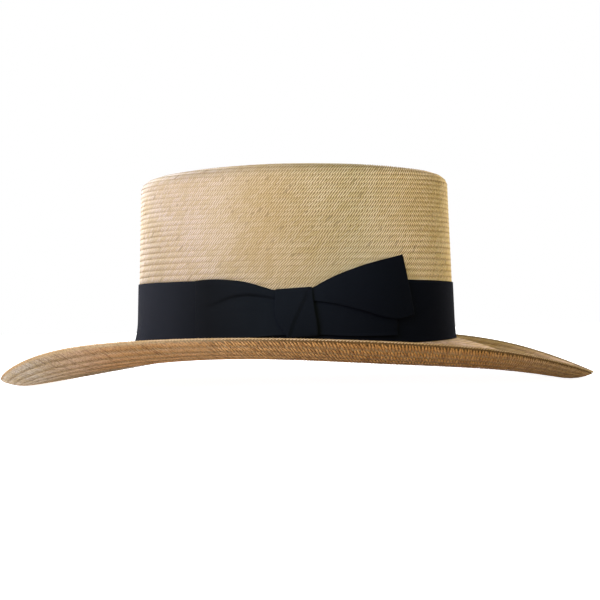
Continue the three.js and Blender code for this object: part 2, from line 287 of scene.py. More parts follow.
# %% Sizes of the crown
HALF_LENGTH = 102.0
HALF_WIDTH = 86.2
CROWN_HEIGHT = 101.2
CROWN_TAPER = 0.032
CROWN_LEAN_BACK = 0.008
TOP_DROP = 0.35
TOP_DROP_BEHIND = 0.015
FOOT_FILLET = 3.0
STRAW_WALL = 1.6
FOOT_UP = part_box("straw_body")[1][2] / MM - CROWN_HEIGHT


def on_oval(angle, out, up):
    """Points square off the foot oval, for angles from the +X side towards the back."""
    across, along = np.cos(angle) / HALF_WIDTH, np.sin(angle) / HALF_LENGTH
    size = np.hypot(across, along)
    x = HALF_WIDTH * np.cos(angle) + across / size * out
    y = HALF_LENGTH * np.sin(angle) + along / size * out + CROWN_LEAN_BACK * np.maximum(0, up)
    drop = (TOP_DROP + TOP_DROP_BEHIND * np.maximum(0, y)) * (np.maximum(0, up) / CROWN_HEIGHT) ** 2
    return np.stack([x, y + OVAL_BACK, up - drop + FOOT_UP + 0 * x], axis=-1)


def wall_out(height):
    """How far the crown's wall stands out from the foot oval, with the concave foot."""
    in_fillet = np.maximum(0, FOOT_FILLET - height)
    return FOOT_FILLET - np.sqrt(FOOT_FILLET**2 - in_fillet**2) - CROWN_TAPER * height


print("foot of the crown at", round(FOOT_UP, 3), "mm")

# %% [markdown]
# ## The brim's form
# The brim dips in front and behind, and its outer part curls up. Reach, dip and curl are given at
# nine places from the front to the back. Straight lines between them would leave kinks in the edge,
# so a sum of cosines goes through all nine, which is smooth and the same on both sides.

# %% Sizes of the brim
BRIM_REACH = (85.0, 84.0, 81.7, 79.5, 78.6, 79.3, 80.9, 82.6, 83.2)
BRIM_DIP = (34.3, 31.2, 22.8, 13.0, 9.3, 13.5, 19.3, 28.4, 34.6)
BRIM_CURL = (9.5, 11.8, 17.0, 15.2, 12.7, 14.1, 13.7, 11.3, 10.9)
DIP_POWER = 1.197
CURL_START = 0.716
FOOT_SWEEP = 2.3
FOOT_SAG_BEHIND = 2.2


def round_brim(rows):
    """A brim size as a sum of cosines through its rows, from the front to the back."""
    last = len(rows) - 1
    order = np.arange(last + 1)
    half_at_ends = np.where((order == 0) | (order == last), 0.5, 1.0)
    waves = np.cos(np.pi * np.outer(order, order) / last)
    terms = 2 / last * half_at_ends * (waves @ (half_at_ends * np.array(rows)))
    return lambda angle: sum(term * np.cos(k * (angle + np.pi / 2)) for k, term in enumerate(terms))


brim_reach = round_brim(BRIM_REACH)
brim_dip = round_brim(BRIM_DIP)
brim_curl = round_brim(BRIM_CURL)


def brim_height(angle, share):
    """Height of the brim's upper face over the foot, at a share of the reach."""
    sag = FOOT_SAG_BEHIND * np.sin(2 * angle) ** 2 * (np.sin(angle) > 0)
    foot = -(FOOT_SWEEP * np.sin(angle) ** 2 + sag) * (1 - share)
    curled = np.maximum(0, (share - CURL_START) / (1 - CURL_START)) ** 2
    return foot - brim_dip(angle) * share**DIP_POWER + brim_curl(angle) * curled


def brim_point(angle, out):
    """Upper face of the brim, with the concave foot, at a distance out from the crown's oval."""
    out = np.maximum(out, 1e-6) + 0 * angle
    share = out / brim_reach(angle)
    in_fillet = np.clip(1 - out / FOOT_FILLET, 0, 1)
    return on_oval(angle, out, brim_height(angle, share) + FOOT_FILLET * (1 - np.sqrt(1 - in_fillet**2)))


print("brim reach at the side and behind:", [round(brim_reach(angle), 1) for angle in (0, np.pi / 2)])

# %% [markdown]
# ## Section of the crown
# One line runs up the crown's wall, over the rim, down the sink and across the flat top to its
# middle. A place is named by its run along that line and not by its height, because rows of weave
# are evenly spaced along it.

# %% Crown section by its run
RIM_RADIUS = 6.0
TOP_SINK = 10.0
SINK_FILLET = 6.0
SINK_SLOPE = math.pi / 4
WALL_HEIGHTS = (FOOT_FILLET, 20.0, 50.0, 80.0)
ARC_STEPS = 24


def arc(centre_out, centre_up, radius, start, end):
    turn = np.linspace(start, end, ARC_STEPS)
    return np.stack([centre_out + radius * np.cos(turn), centre_up + radius * np.sin(turn)], axis=-1)


def run_along(points):
    """The way from the first of some points to each of them."""
    return np.concatenate([[0], np.cumsum(np.linalg.norm(np.diff(points, axis=0), axis=1))])


rim_up = CROWN_HEIGHT - RIM_RADIUS
rim_out = -CROWN_TAPER * rim_up - RIM_RADIUS
rim_arc = arc(rim_out, rim_up, RIM_RADIUS, 0, math.pi - SINK_SLOPE)
floor_up = CROWN_HEIGHT - TOP_SINK
slope_foot = floor_up + SINK_FILLET * (1 - math.cos(SINK_SLOPE))
slope_run = (rim_arc[-1, 1] - slope_foot) / math.tan(SINK_SLOPE)
sink_out = rim_arc[-1, 0] - slope_run - SINK_FILLET * math.sin(SINK_SLOPE)
sink_arc = arc(sink_out, floor_up + SINK_FILLET, SINK_FILLET, SINK_SLOPE - math.pi / 2, -math.pi / 2)
wall_line = [(wall_out(height), height) for height in WALL_HEIGHTS]
crown_line = np.concatenate([wall_line, rim_arc, sink_arc])
crown_run = run_along(crown_line)
RIM_END_RUN = float(crown_run[len(wall_line) + ARC_STEPS - 1])
FLOOR_RUN = float(crown_run[-1])
FLOOR_HALF_WIDTH = HALF_WIDTH + sink_out
MIDDLE_RUN = FLOOR_RUN + FLOOR_HALF_WIDTH


def crown_point(angle, run):
    """Outer face of the crown at a run up its wall and over its rim to the middle of the top."""
    out = np.interp(run, crown_run, crown_line[:, 0]) + 0 * angle
    up = np.interp(run, crown_run, crown_line[:, 1]) + 0 * angle
    point = on_oval(angle, out, up)
    share = np.clip(1 - (run - FLOOR_RUN) / FLOOR_HALF_WIDTH, 0, 1)
    point[..., :2] *= np.asarray(share)[..., None]
    return point


print("runs to the rim's end, the flat top and its middle:",
      [round(run, 1) for run in (RIM_END_RUN, FLOOR_RUN, MIDDLE_RUN)])

# %% [markdown]
# ## A face and its directions
# For a strand to lie on the straw it needs the face's normal, the way its row runs and the height of
# the row. Formulas for these would differ for wall, rim, top and brim. Points a little to each side
# give all three, so every part of the hat is treated alike.

# %% Directions on a face
TURN_STEP = 1e-4
RUN_STEP = 0.2
SHARE_STEP = 0.002


def unit(vectors):
    return vectors / np.maximum(np.linalg.norm(vectors, axis=-1, keepdims=True), 1e-12)


def on_face(point, angle, row, pitch, off):
    """Places moved off a face, with the face's normal, the row's way and the row's true height."""
    here = point(angle, row)
    way = unit(point(angle + TURN_STEP, row) - point(angle - TURN_STEP, row))
    rise = point(angle, row + pitch / 2) - point(angle, row - pitch / 2)
    normal = unit(np.cross(way, rise))
    return here + normal * off, normal, way, np.linalg.norm(rise, axis=-1)


def brim_from_edge(angle, row):
    """Upper face of the brim, its rows counted inwards from the edge as a share of the reach."""
    return brim_point(angle, (1 - row) * brim_reach(angle))


def brim_to_edge(angle, row):
    """The same points with rows counted outwards, so that the normal points down."""
    return brim_point(angle, row * brim_reach(angle))


side_normal = on_face(crown_point, np.array([0.0]), 40.0, RUN_STEP, 0)[1][0]
print("normal of the crown's side:", np.round(side_normal, 2))

# %% [markdown]
# ## Straw colours
# Each strand has a tone of its own between pale and golden, some are scorched or spotted, and the
# tone changes in soft patches. Along the hat the straw of the crown is painted paler and cooler in
# front and warmer behind, as painted light from the window's side, with painted shade at its very
# front edge. A strand is painted darker along its sides and at the end that is tucked under the next
# row, as painted shade. An image could hold all this, but would have to be fitted to every strand.
# The strands carry their tone and their own length as attributes instead.

# %% Tints along the hat
STRAW_PALE = (0.84, 0.63, 0.36)
STRAW_GOLD = (0.7, 0.49, 0.215)
STRAW_SPOT = (0.26, 0.15, 0.058)
# Painted shade on the end of each strand that is tucked under the next row.
STRAW_TUCK_SHADE = (0.62, 0.54, 0.42)
# Painted shade along the sides of each strand, in the valleys between strands.
STRAW_SIDE_SHADE = (0.5, 0.4, 0.28)
STRAW_FIBRE = (0.8, 0.76, 0.7)
# Painted light: the crown is paler and cooler towards the front, where the window lamp is, and warmer
# behind. The very front edge gets painted shade.
CROWN_LIGHT_AND_SHADE_TINTS = [(-0.105, (0.74, 0.82, 1.03)), (-0.075, (1.0, 1.13, 1.47)), (-0.05, (0.95, 1.05, 1.41)),
               (0.0, (0.9, 0.915, 0.91)), (0.05, (0.865, 0.935, 0.895)), (0.09, (1.08, 1.055, 1.02))]
BRIM_TINTS = [(-0.1, (0.92, 0.87, 0.96)), (0.1, (0.92, 0.84, 0.93))]
EDGE_TINTS = [(-0.1, (0.62, 0.56, 0.52)), (0.1, (0.62, 0.55, 0.48))]
# Painted shade: the underside is darker and warmer, as if in the shade under the brim. Its front and back
# ends are cooler, as painted light.
UNDER_LIGHT_AND_SHADE_TINTS = [(-0.13, (0.49, 0.55, 0.67)), (-0.07, (0.535, 0.39, 0.265)), (0.0, (0.64, 0.455, 0.28)),
               (0.06, (0.485, 0.3, 0.13)), (0.12, (0.49, 0.31, 0.14)), (0.165, (0.54, 0.43, 0.33))]


def along_hat(place, tints, reach):
    """A tint that changes with the way from the front, at -reach, to the back, at +reach."""
    stops = [((way + reach) / (2 * reach), tint) for way, tint in tints]
    backward = (place.axis("Y") + reach) / (2 * reach)
    return place.node("ShaderNodeValToRGB", {"stops": stops}, {"Fac": backward}, "Color")


print("tints: crown", len(CROWN_LIGHT_AND_SHADE_TINTS), "brim", len(BRIM_TINTS), "underside", len(UNDER_LIGHT_AND_SHADE_TINTS))

# %% [markdown]
# ## Straw finish
# The straw is the same all over, but the underside is painted darker and warmer as painted shade,
# with cooler ends as painted light, and it has more flecks. The rim of the crown is painted a little
# darker as painted shade. Four materials could be written out, but one function makes them all, so
# that they differ only in the few amounts that it is given.

# %% Straw materials
STRAW_REACH = 0.2
PATCH_SCALE = 26.0
FLECK_SCALE = 1000.0
FIBRE_SCALE = 2600.0
TONE_SHARE = 0.6
SPOT_LOT = 37.7
SPOT_DEPTH = 0.5
FIBRE_DEPTH = 0.4
PATCH_STEP = (0.35, 0.65)
TUCK_SHADE_STEP = (0.3, 0.5)
SIDE_SHADE_STEP = (0.18, 0.42)
FIBRE_STEP = (0.5, 0.75)
FLECK_STEP = (0.45, 0.6)
RIM_SHADE_HEIGHTS = (0.121, 0.1285)


# The amounts for the sides, the tucked ends and the rim set how deep the painted shade is there.
def straw_material(name, tints, side=1.0, tuck_shade=0.4, flecks=0.0, spots=0.01, rim=1.0):
    material, wires, place, shader = new_material(name)
    tone = wires.node("ShaderNodeAttribute", {"attribute_name": "tone"}, {}, "Fac")
    strand = wires.node("ShaderNodeAttribute", {"attribute_name": "strand"}, {}, "Vector")
    patches = place.noise(PATCH_SCALE, 3.0)
    fibre = place.noise(FIBRE_SCALE)
    golden = tone * TONE_SHARE + patches.between(*PATCH_STEP) * (1 - TONE_SHARE)
    base = golden.between(0.0, 1.0).pick(STRAW_PALE, STRAW_GOLD)
    spotted = (tone * SPOT_LOT + patches * 0.4).fraction().between(0.99 - spots, 1.0 - spots)
    base = base.blend(STRAW_SPOT, spotted * SPOT_DEPTH)
    # Painted shade: the tucked end of each strand is darkened.
    tuck_shade_mask = strand.axis("X").size().between(*TUCK_SHADE_STEP)
    base = base.blend(STRAW_TUCK_SHADE, tuck_shade_mask * tuck_shade, "MULTIPLY")
    # Painted shade: each strand is darkened along its sides, more in some patches.
    side_shade_mask = strand.axis("Y").size().between(*SIDE_SHADE_STEP) * (0.4 + patches * 0.9)
    base = base.blend(STRAW_SIDE_SHADE, side_shade_mask * side, "MULTIPLY")
    base = base.blend(STRAW_FIBRE, fibre.between(*FIBRE_STEP) * FIBRE_DEPTH, "MULTIPLY")
    base = base.blend(STRAW_SPOT, place.noise(FLECK_SCALE).between(*FLECK_STEP) * flecks)
    # For the crown and the underside, these tints along the hat are painted light and shade.
    base = base.blend(along_hat(place, tints, STRAW_REACH), 1.0, "MULTIPLY")
    # Painted shade: the top of the crown's rim is darkened.
    base = base.blend((rim, rim, rim), place.axis("Z").between(*RIM_SHADE_HEIGHTS), "MULTIPLY")
    wires.fill(shader, {"Base Color": base, "Roughness": 0.6 + fibre * 0.2, "Specular IOR Level": 0.15})
    return material


straw = straw_material("straw", CROWN_LIGHT_AND_SHADE_TINTS, side=1.15, tuck_shade=0.65, rim=0.75)
straw_brim = straw_material("straw_brim", BRIM_TINTS)
straw_edge = straw_material("straw_edge", EDGE_TINTS)
straw_under = straw_material("straw_underside", UNDER_LIGHT_AND_SHADE_TINTS, side=0.4, tuck_shade=0.15, flecks=0.6, spots=0.12)
print("straw materials:", [m.name for m in (straw, straw_brim, straw_edge, straw_under)])

# %% [markdown]
# ## Pieces from points
# The straw's ground and the ribbons are closed shells over grids of points. Blender could thicken a
# single sheet with a modifier, but here both faces are known. So a mesh is made straight from the
# points, its doubles are merged, and its normals are turned outwards.

# %% Meshes from grids
MERGE_REACH = 1e-6


def add_piece(name, points, faces, materials, replaced, which=0):
    """A piece in metres from points in millimetres, that rides with the hat."""
    mesh = bpy.data.meshes.new(name)
    mesh.from_pydata((np.asarray(points).reshape(-1, 3) * MM).tolist(), [], np.asarray(faces).tolist())
    mesh.polygons.foreach_set("material_index", np.broadcast_to(which, len(faces)).astype(np.int32))
    shape = bmesh.new()
    shape.from_mesh(mesh)
    bmesh.ops.remove_doubles(shape, verts=shape.verts, dist=MERGE_REACH)
    bmesh.ops.recalc_face_normals(shape, faces=shape.faces)
    shape.to_mesh(mesh)
    shape.free()
    mesh.shade_smooth()
    for material in materials:
        mesh.materials.append(material)
    piece = bpy.data.objects.new(name, mesh)
    bpy.context.scene.collection.objects.link(piece)
    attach(piece, "root")
    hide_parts(*replaced)
    print(name, len(mesh.polygons), "faces")
    return piece


def quads(a, b, c, d):
    return np.stack([a, b, c, d], -1).reshape(-1, 4)


def grid_quads(grid):
    """Quads of a grid of point numbers."""
    return quads(grid[:-1, :-1], grid[1:, :-1], grid[1:, 1:], grid[:-1, 1:])


def closed_rows(grid):
    """The grid with its first column once more at the end, for rows that go right round."""
    return np.concatenate([grid, grid[:, :1]], axis=1)


print("a closed grid of 2 x 3 points has", len(grid_quads(closed_rows(np.arange(6).reshape(2, 3)))), "quads")

# %% [markdown]
# ## Ground of the weave
# Between the strands the inner layer of the straw shows. It is painted darker than the strands, as
# painted shade in the gaps, and paler towards the front like them, as painted light. A second layer
# of strands could lie there, but it would hardly be seen. So it is a thin closed shell just under the
# face of the straw: rings from the middle of the top out to the brim's edge, and back on the other
# side. The brim's end and the underside right next to it are painted nearly black, as the painted
# shade of a furrow.

# %% Ground materials
GROUND_SCALE = 900.0
GROUND_FRONT_LIGHT = (0.05, -0.07)


def ground_straw(name, dark, pale, front):
    """Inner straw between two tones, which are multiplied by a third towards the front."""
    material, wires, place, shader = new_material(name)
    stops = {"stops": [(0.3, dark), (0.7, pale)]}
    tone = wires.node("ShaderNodeValToRGB", stops, {"Fac": place.noise(GROUND_SCALE, 3.0)}, "Color")
    # Painted light: the ground is paler towards the front.
    tone = tone.blend(front, place.axis("Y").between(*GROUND_FRONT_LIGHT), "MULTIPLY")
    wires.fill(shader, {"Base Color": tone, "Roughness": 0.8, "Specular IOR Level": 0.05})
    return material


# The ground's tones are darker than the strands, as painted shade in the gaps between them.
grounds = [ground_straw("straw_ground", (0.19, 0.12, 0.045), (0.3, 0.2, 0.085), (2.3, 2.5, 3.0)),
           ground_straw("straw_ground_underside", (0.24, 0.135, 0.05), (0.36, 0.22, 0.09), (1.6, 1.85, 2.3)),
           ground_straw("straw_furrow_shade", (0.06, 0.03, 0.008), (0.13, 0.065, 0.018), (3.2, 4.3, 7.0))]
print("ground materials:", [material.name for material in grounds])

# %% Straw ground
GROUND_SEGMENTS = 144
GROUND_DEPTH = 0.4
FOOT_SHARE = 0.06
PINHOLE = 0.01
TOP_RINGS = 8
SIDE_RINGS = 60
FOOT_RINGS = 6
BRIM_RINGS = 34
# Painted shade: the faces next to the brim's edge get a nearly black ground, as the shade of a furrow.
FURROW_SHADE_RINGS = 2
around = np.linspace(0, 2 * np.pi, GROUND_SEGMENTS, endpoint=False)
top_runs = np.linspace(MIDDLE_RUN - PINHOLE, FLOOR_RUN, TOP_RINGS)
side_runs = np.linspace(FLOOR_RUN, 0, SIDE_RINGS)[1:]
foot_shares = np.linspace(0, FOOT_SHARE, FOOT_RINGS)[1:]
brim_shares = np.linspace(FOOT_SHARE, 1, BRIM_RINGS)[1:]
rings = []
for depth in (GROUND_DEPTH, STRAW_WALL - GROUND_DEPTH):
    face = [on_face(crown_point, around, run, RUN_STEP, -depth)[0] for run in (*top_runs, *side_runs)]
    for share in (*foot_shares, *brim_shares):
        face.append(on_face(brim_to_edge, around, share, SHARE_STEP, depth)[0])
    rings.append(face)
rings = np.array(rings[0] + rings[1][::-1])
ground_faces = grid_quads(closed_rows(np.arange(len(rings) * GROUND_SEGMENTS).reshape(-1, GROUND_SEGMENTS)))
past_edge = np.arange(len(ground_faces)) // GROUND_SEGMENTS - len(rings) // 2 + 1
underneath = past_edge >= 0
# The furrow faces carry painted shade.
finish = underneath + 1 * (underneath & (past_edge < FURROW_SHADE_RINGS))
add_piece("straw_ground", rings, ground_faces, grounds, ["straw_body"], finish)

# %% [markdown]
# ## One strand
# A strand of straw comes up from under one row, lies over the next and dives again, and is narrower
# at its ends. A strip of many faces could be bent for it, but thousands are needed. So it is a cone
# of three sides with one or two joints, lowered and narrowed towards both ends.

# %% A strand of unit size
STRAND_SIDES = 3
STRAND_RADII = (0.5, 0.44)


def named(wires, kind, name):
    return wires.node("GeometryNodeInputNamedAttribute", {"data_type": kind}, {"Name": name})


def store(geometry, kind, domain, name, value):
    values = {"Geometry": geometry, "Name": name, "Value": value}
    return geometry.node("GeometryNodeStoreNamedAttribute", {"data_type": kind, "domain": domain}, values)


def one_strand(wires, given):
    """A strand of length 1 along X, which keeps its own places for the straw's material."""
    sizes = {"Vertices": STRAND_SIDES, "Side Segments": given["Joints"], "Depth": 1.0,
             "Radius Top": STRAND_RADII[0], "Radius Bottom": STRAND_RADII[1]}
    strand = wires.node("GeometryNodeMeshCone", {"fill_type": "NGON"}, sizes)
    sides = Wire(wires.tree, strand.socket.node.outputs["Side"])
    strand = wires.node("GeometryNodeSetShadeSmooth", {}, {"Geometry": strand, "Selection": sides})
    laid = {"Geometry": strand, "Translation": (0.5, 0, 0), "Rotation": (0, -math.pi / 2, 0)}
    strand = wires.node("GeometryNodeTransform", {}, laid)
    spot = wires.node("GeometryNodeInputPosition", {}, {})
    to_end = spot.axis("X") * spot.axis("X") * -4.0
    dive = wires.vector(0.0, spot.axis("Y") * to_end * given["Taper"], to_end * given["Arch"])
    strand = wires.node("GeometryNodeSetPosition", {}, {"Geometry": strand, "Offset": dive})
    return store(strand, "FLOAT_VECTOR", "POINT", "strand", wires.node("GeometryNodeInputPosition", {}, {}))


print("a strand has", STRAND_SIDES, "sides")

# %% [markdown]
# ## The weave
# The hat is woven in rows that start in the middle of the top and end at the brim's edge. In every
# row short strands lie side by side on a slant, each tucked under the row that comes before it.
# They could be copied in a loop, but a node tree is quicker: it puts one strand on each point, which
# stands on the face's normal, turns along the row, and is then slanted and tipped.

# %% Weave tree
HEIGHT_SPREAD = (0.85, 1.15)
CELL_SHARE = 0.8
WEAVE_INPUTS = {"Geometry": "Geometry", "Joints": "Int", "Arch": "Float", "Taper": "Float",
                "Length": "Float", "Width": "Float", "Height": "Float", "Slant": "Float",
                "Slant Spread": "Float", "Tip": "Float", "Cells": "Float", "Seed": "Int",
                "Material": "Material"}


def chance(given, low, high, offset):
    values = {2: low, 3: high, 8: given["Seed"] + offset}
    return given["Seed"].node("FunctionNodeRandomValue", {"data_type": "FLOAT"}, values, 1)


def strand_turn(wires, given):
    """How a strand stands on its point."""
    values = {"Vector": named(wires, "FLOAT_VECTOR", "up")}
    stand = wires.node("FunctionNodeAlignRotationToVector", {"axis": "Z"}, values)
    values = {"Rotation": stand, "Vector": named(wires, "FLOAT_VECTOR", "along")}
    stand = wires.node("FunctionNodeAlignRotationToVector", {"axis": "X", "pivot_axis": "Z"}, values)
    slant = given["Slant"] + given["Slant Spread"] * chance(given, -1.0, 1.0, 1)
    lean = wires.vector(0.0, given["Tip"], slant)
    lean = wires.node("FunctionNodeEulerToRotation", {}, {"Euler": lean})
    values = {"Rotation": stand, "Rotate By": lean}
    return wires.node("FunctionNodeRotateRotation", {"rotation_space": "LOCAL"}, values)


def bake_cell(wires, given):
    """A cell of its own for each strand on the map that colours are baked to."""
    number = named(wires, "FLOAT", "number")
    row = (number / given["Cells"]).floor()
    spot = named(wires, "FLOAT_VECTOR", "strand")
    across = number - row * given["Cells"] + 0.5 + spot.axis("X") * CELL_SHARE
    upwards = row + 0.5 + spot.axis("Y") * CELL_SHARE
    return wires.vector(across / given["Cells"], upwards / given["Cells"])


def weave_tree():
    """The tree and the identifiers of its inputs."""
    tree = bpy.data.node_groups.new("straw_weave", "GeometryNodeTree")
    sockets = {}
    for name, kind in WEAVE_INPUTS.items():
        made = tree.interface.new_socket(name, in_out="INPUT", socket_type="NodeSocket" + kind)
        sockets[name] = made.identifier
    tree.interface.new_socket("Geometry", in_out="OUTPUT", socket_type="NodeSocketGeometry")
    start = tree.nodes.new("NodeGroupInput")
    wires = Wire(tree)
    given = {name: Wire(tree, start.outputs[name]) for name in WEAVE_INPUTS}
    number = wires.node("GeometryNodeInputIndex", {}, {})
    points = store(given["Geometry"], "FLOAT", "POINT", "number", number)
    points = store(points, "FLOAT", "POINT", "tone", chance(given, 0.0, 1.0, 0))
    size = wires.vector(given["Length"] * named(wires, "FLOAT", "pitch"),
                        given["Width"] * named(wires, "FLOAT", "step"),
                        given["Height"] * chance(given, *HEIGHT_SPREAD, 2))
    values = {"Points": points, "Instance": one_strand(wires, given), "Scale": size,
              "Rotation": strand_turn(wires, given)}
    woven = wires.node("GeometryNodeInstanceOnPoints", {}, values)
    woven = wires.node("GeometryNodeRealizeInstances", {}, {"Geometry": woven})
    woven = store(woven, "FLOAT2", "CORNER", "OFBake", bake_cell(wires, given))
    woven = wires.node("GeometryNodeSetMaterial", {}, {"Geometry": woven, "Material": given["Material"]})
    wires.fill(tree.nodes.new("NodeGroupOutput"), {"Geometry": woven})
    return tree, sockets


WEAVE, WEAVE_SOCKETS = weave_tree()
print("weave inputs:", list(WEAVE_SOCKETS))

# %% [markdown]
# ## Rows of strands
# The points that the tree reads are worked out row by row. A row has as many strands as fit round
# it, and its start is shifted a little from the row before, so that no column of strands lines up by
# chance. Scattered points would be simpler, but a weave has an order that the eye looks for.

# %% Points of a woven face
STRAND_STEP = 1.7
ROW_SHIFT = 0.95
ROW_SHIFT_SPREAD = 0.12
FEWEST_STRANDS = 6
FINE_TURNS = np.linspace(0, 2 * np.pi, 1441)


def row_points(point, rows, pitches, off=0.0, shift=ROW_SHIFT, strand_step=STRAND_STEP,
               spread=ROW_SHIFT_SPREAD):
    """Places, normals, ways, row heights and steps for all strands of some rows."""
    columns = [[], [], [], [], []]
    starts = np.cumsum(np.random.default_rng(len(rows)).normal(shift, spread, len(rows)))
    for start, row, pitch in zip(starts, rows, np.broadcast_to(pitches, len(rows))):
        run = run_along(point(FINE_TURNS, row))
        count = max(FEWEST_STRANDS, round(run[-1] / strand_step))
        angle = np.interp((np.arange(count) + start % 1) / count * run[-1], run, FINE_TURNS)
        found = (*on_face(point, angle, row, pitch, off), np.full(count, run[-1] / count))
        for column, values in zip(columns, found):
            column.append(values)
    return [np.concatenate(column) for column in columns]


print("fewest strands in a row:", FEWEST_STRANDS)

# %% [markdown]
# ## Weaving a face
# The points become a mesh without faces that carries its directions and sizes as attributes. The
# tree runs on it once. A live modifier would work in Blender, but its strands are wanted as a plain
# mesh elsewhere, so the result is kept and the modifier is taken off.


# %% Strands on points
def weave(name, points, material, slant, seed, joints=2, size=(1.5, 0.6, 0.42), tip=0.025,
          arch=0.13, taper=0.25, unruly=0.1):
    """Strands on points; the size is in row heights, steps along the row and millimetres."""
    place, normal, way, pitch, step = points
    cloud = bpy.data.meshes.new(name)
    cloud.from_pydata((place * MM).tolist(), [], [])
    for label, values in (("up", normal), ("along", way)):
        cloud.attributes.new(label, "FLOAT_VECTOR", "POINT").data.foreach_set("vector", values.ravel())
    for label, values in (("pitch", pitch * MM), ("step", step * MM)):
        cloud.attributes.new(label, "FLOAT", "POINT").data.foreach_set("value", values)
    holder = bpy.data.objects.new(name, cloud)
    bpy.context.scene.collection.objects.link(holder)
    modifier = holder.modifiers.new("weave", "NODES")
    modifier.node_group = WEAVE
    inputs = {"Joints": joints, "Arch": arch, "Taper": taper, "Length": size[0], "Width": size[1],
              "Height": size[2] * MM, "Slant": slant, "Slant Spread": unruly, "Tip": tip,
              "Cells": float(math.ceil(math.sqrt(len(place)))), "Seed": seed, "Material": material}
    for label, value in inputs.items():
        modifier[WEAVE_SOCKETS[label]] = value
    graph = bpy.context.evaluated_depsgraph_get()
    mesh = bpy.data.meshes.new_from_object(holder.evaluated_get(graph))
    holder.modifiers.remove(modifier)
    holder.data = mesh
    mesh.name = name
    bpy.data.meshes.remove(cloud)
    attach(holder, "root")
    print(name, len(place), "strands,", sum(len(p.vertices) - 2 for p in mesh.polygons), "triangles")


# %% [markdown]
# ## Crown, outside and inside
# On the outside the strands rise to the right in every row, and the rows are wider near the band and
# climb a little towards the front and the back. The same strands seen from the inside slant the
# other way, as the back of any woven cloth does, so the inside is woven with the slant turned round.

# %% Crown weave
SLANT = math.radians(45)
ROW_PITCH = 2.62
INSIDE_PITCH = ROW_PITCH * 1.1
INSIDE_FIRST = 2.0
INSIDE_FOOT = 1.0
CROWN_STEP = 1.6
CROWN_SHIFT = 0.2
FIRST_RUN = 17.0
TOP_HOLE = 4.0
WIDER_BELOW = 0.3
WIDER_END_RUN = 72.0
WIDER_FADE = 30.0
ROW_LIFT = 5.9
ROW_LIFT_RUNS = (19, 100, MIDDLE_RUN)
ROW_LIFT_TURN = math.radians(10)


def crown_rows(angle, run):
    """The crown with its rows lifted towards the front and the back."""
    lift = np.interp(run, ROW_LIFT_RUNS, (0, ROW_LIFT, 0))
    return crown_point(angle, run + lift * np.sin(angle - ROW_LIFT_TURN) ** 2)


def crown_rows_inside(angle, row):
    """The same rows counted from the middle of the top, so that the normal points inwards."""
    return crown_rows(angle, MIDDLE_RUN - row)


runs = [FIRST_RUN]
while runs[-1] < MIDDLE_RUN - TOP_HOLE:
    wider = WIDER_BELOW * np.clip((WIDER_END_RUN - runs[-1]) / WIDER_FADE, 0, 1)
    runs.append(runs[-1] + ROW_PITCH * (1 + wider))
runs = np.array(runs)
pitches = np.gradient(runs)
on_side = runs < RIM_END_RUN
side_points = row_points(crown_rows, runs[on_side], pitches[on_side],
                         shift=CROWN_SHIFT, strand_step=CROWN_STEP)
weave("crown_weave", side_points, straw, SLANT, seed=11)
top_points = row_points(crown_rows, runs[~on_side], pitches[~on_side])
weave("crown_top_weave", top_points, straw, SLANT, seed=12)
inside_rows = np.arange(INSIDE_FIRST, MIDDLE_RUN - INSIDE_FOOT, INSIDE_PITCH)
inside_points = row_points(crown_rows_inside, inside_rows, INSIDE_PITCH, STRAW_WALL, -ROW_SHIFT)
weave("crown_inside_weave", inside_points, straw_under, -SLANT, joints=1, seed=13)

# %% [markdown]
# ## Brim, above and below
# The rows go on over the brim, each a little longer than the last. Below the brim the slant is
# mirrored too. The upper weave could be copied and turned over, but the strands below look broader,
# flatter and less even, so that face is woven with sizes of its own.

# %% Brim weave
UNDER_SLANT = math.radians(60)
UNDER_SHIFT = -0.5
UNDER_SPREAD = 0.25
BRIM_ROWS = 23
BRIM_FIRST = 0.035
BRIM_LAST = 0.963
UNDER_LAST = 0.968
brim_pitch = (BRIM_LAST - BRIM_FIRST) / (BRIM_ROWS - 1)
brim_rows = np.linspace(BRIM_FIRST, BRIM_LAST, BRIM_ROWS)
under_rows = np.linspace(BRIM_FIRST, UNDER_LAST, BRIM_ROWS)
upper_points = row_points(brim_from_edge, 1 - brim_rows, brim_pitch)
weave("brim_upper_weave", upper_points, straw_brim, SLANT, seed=14)
under_points = row_points(brim_to_edge, under_rows, brim_pitch, STRAW_WALL, UNDER_SHIFT, spread=UNDER_SPREAD)
weave("brim_under_weave", under_points, straw_under, -UNDER_SLANT, seed=15,
      size=(1.3, 1.12, 0.27), arch=0.2, taper=0.7, unruly=0.2)

# %% [markdown]
# ## Edge of the brim
# At the edge the strands are turned over and bound off, which looks like a thin twisted cord. A
# curve with a twist could show that. One more row of strands along the end of the brim does the same
# with what is there already.

# %% Brim edge
EDGE_SLANT = math.radians(24)
EDGE_PITCH = 1.6


def brim_edge(angle, row):
    """The end of the brim, its rows counted from the lower face to the upper one."""
    last, normal, _, _ = on_face(brim_to_edge, angle, 1.0, SHARE_STEP, 0)
    return last + normal * (STRAW_WALL / 2 - row)


edge_points = row_points(brim_edge, [0.0], EDGE_PITCH)
weave("brim_edge_cord", edge_points, straw_edge, EDGE_SLANT, seed=16, size=(1.6, 0.5, 0.65), tip=0.08)

# %% [markdown]
# ## Ribbon
# Band and bow are one kind of ribbon: black, with fine ribs across its length and hardly any sheen.
# It is painted lighter in front and darker towards the back, where less light comes, as painted light
# and shade. Ribs as geometry would take millions of faces, so they are a bump that follows the
# ribbon's own map, which counts millimetres along and across it.

# %% Ribbon material
RIB_PITCH = 0.62
RIBBON_TONES = ((0.0105, 0.0108, 0.012), (0.0185, 0.019, 0.0215))
RIBBON_WORN = (0.7, 0.72, 0.75)
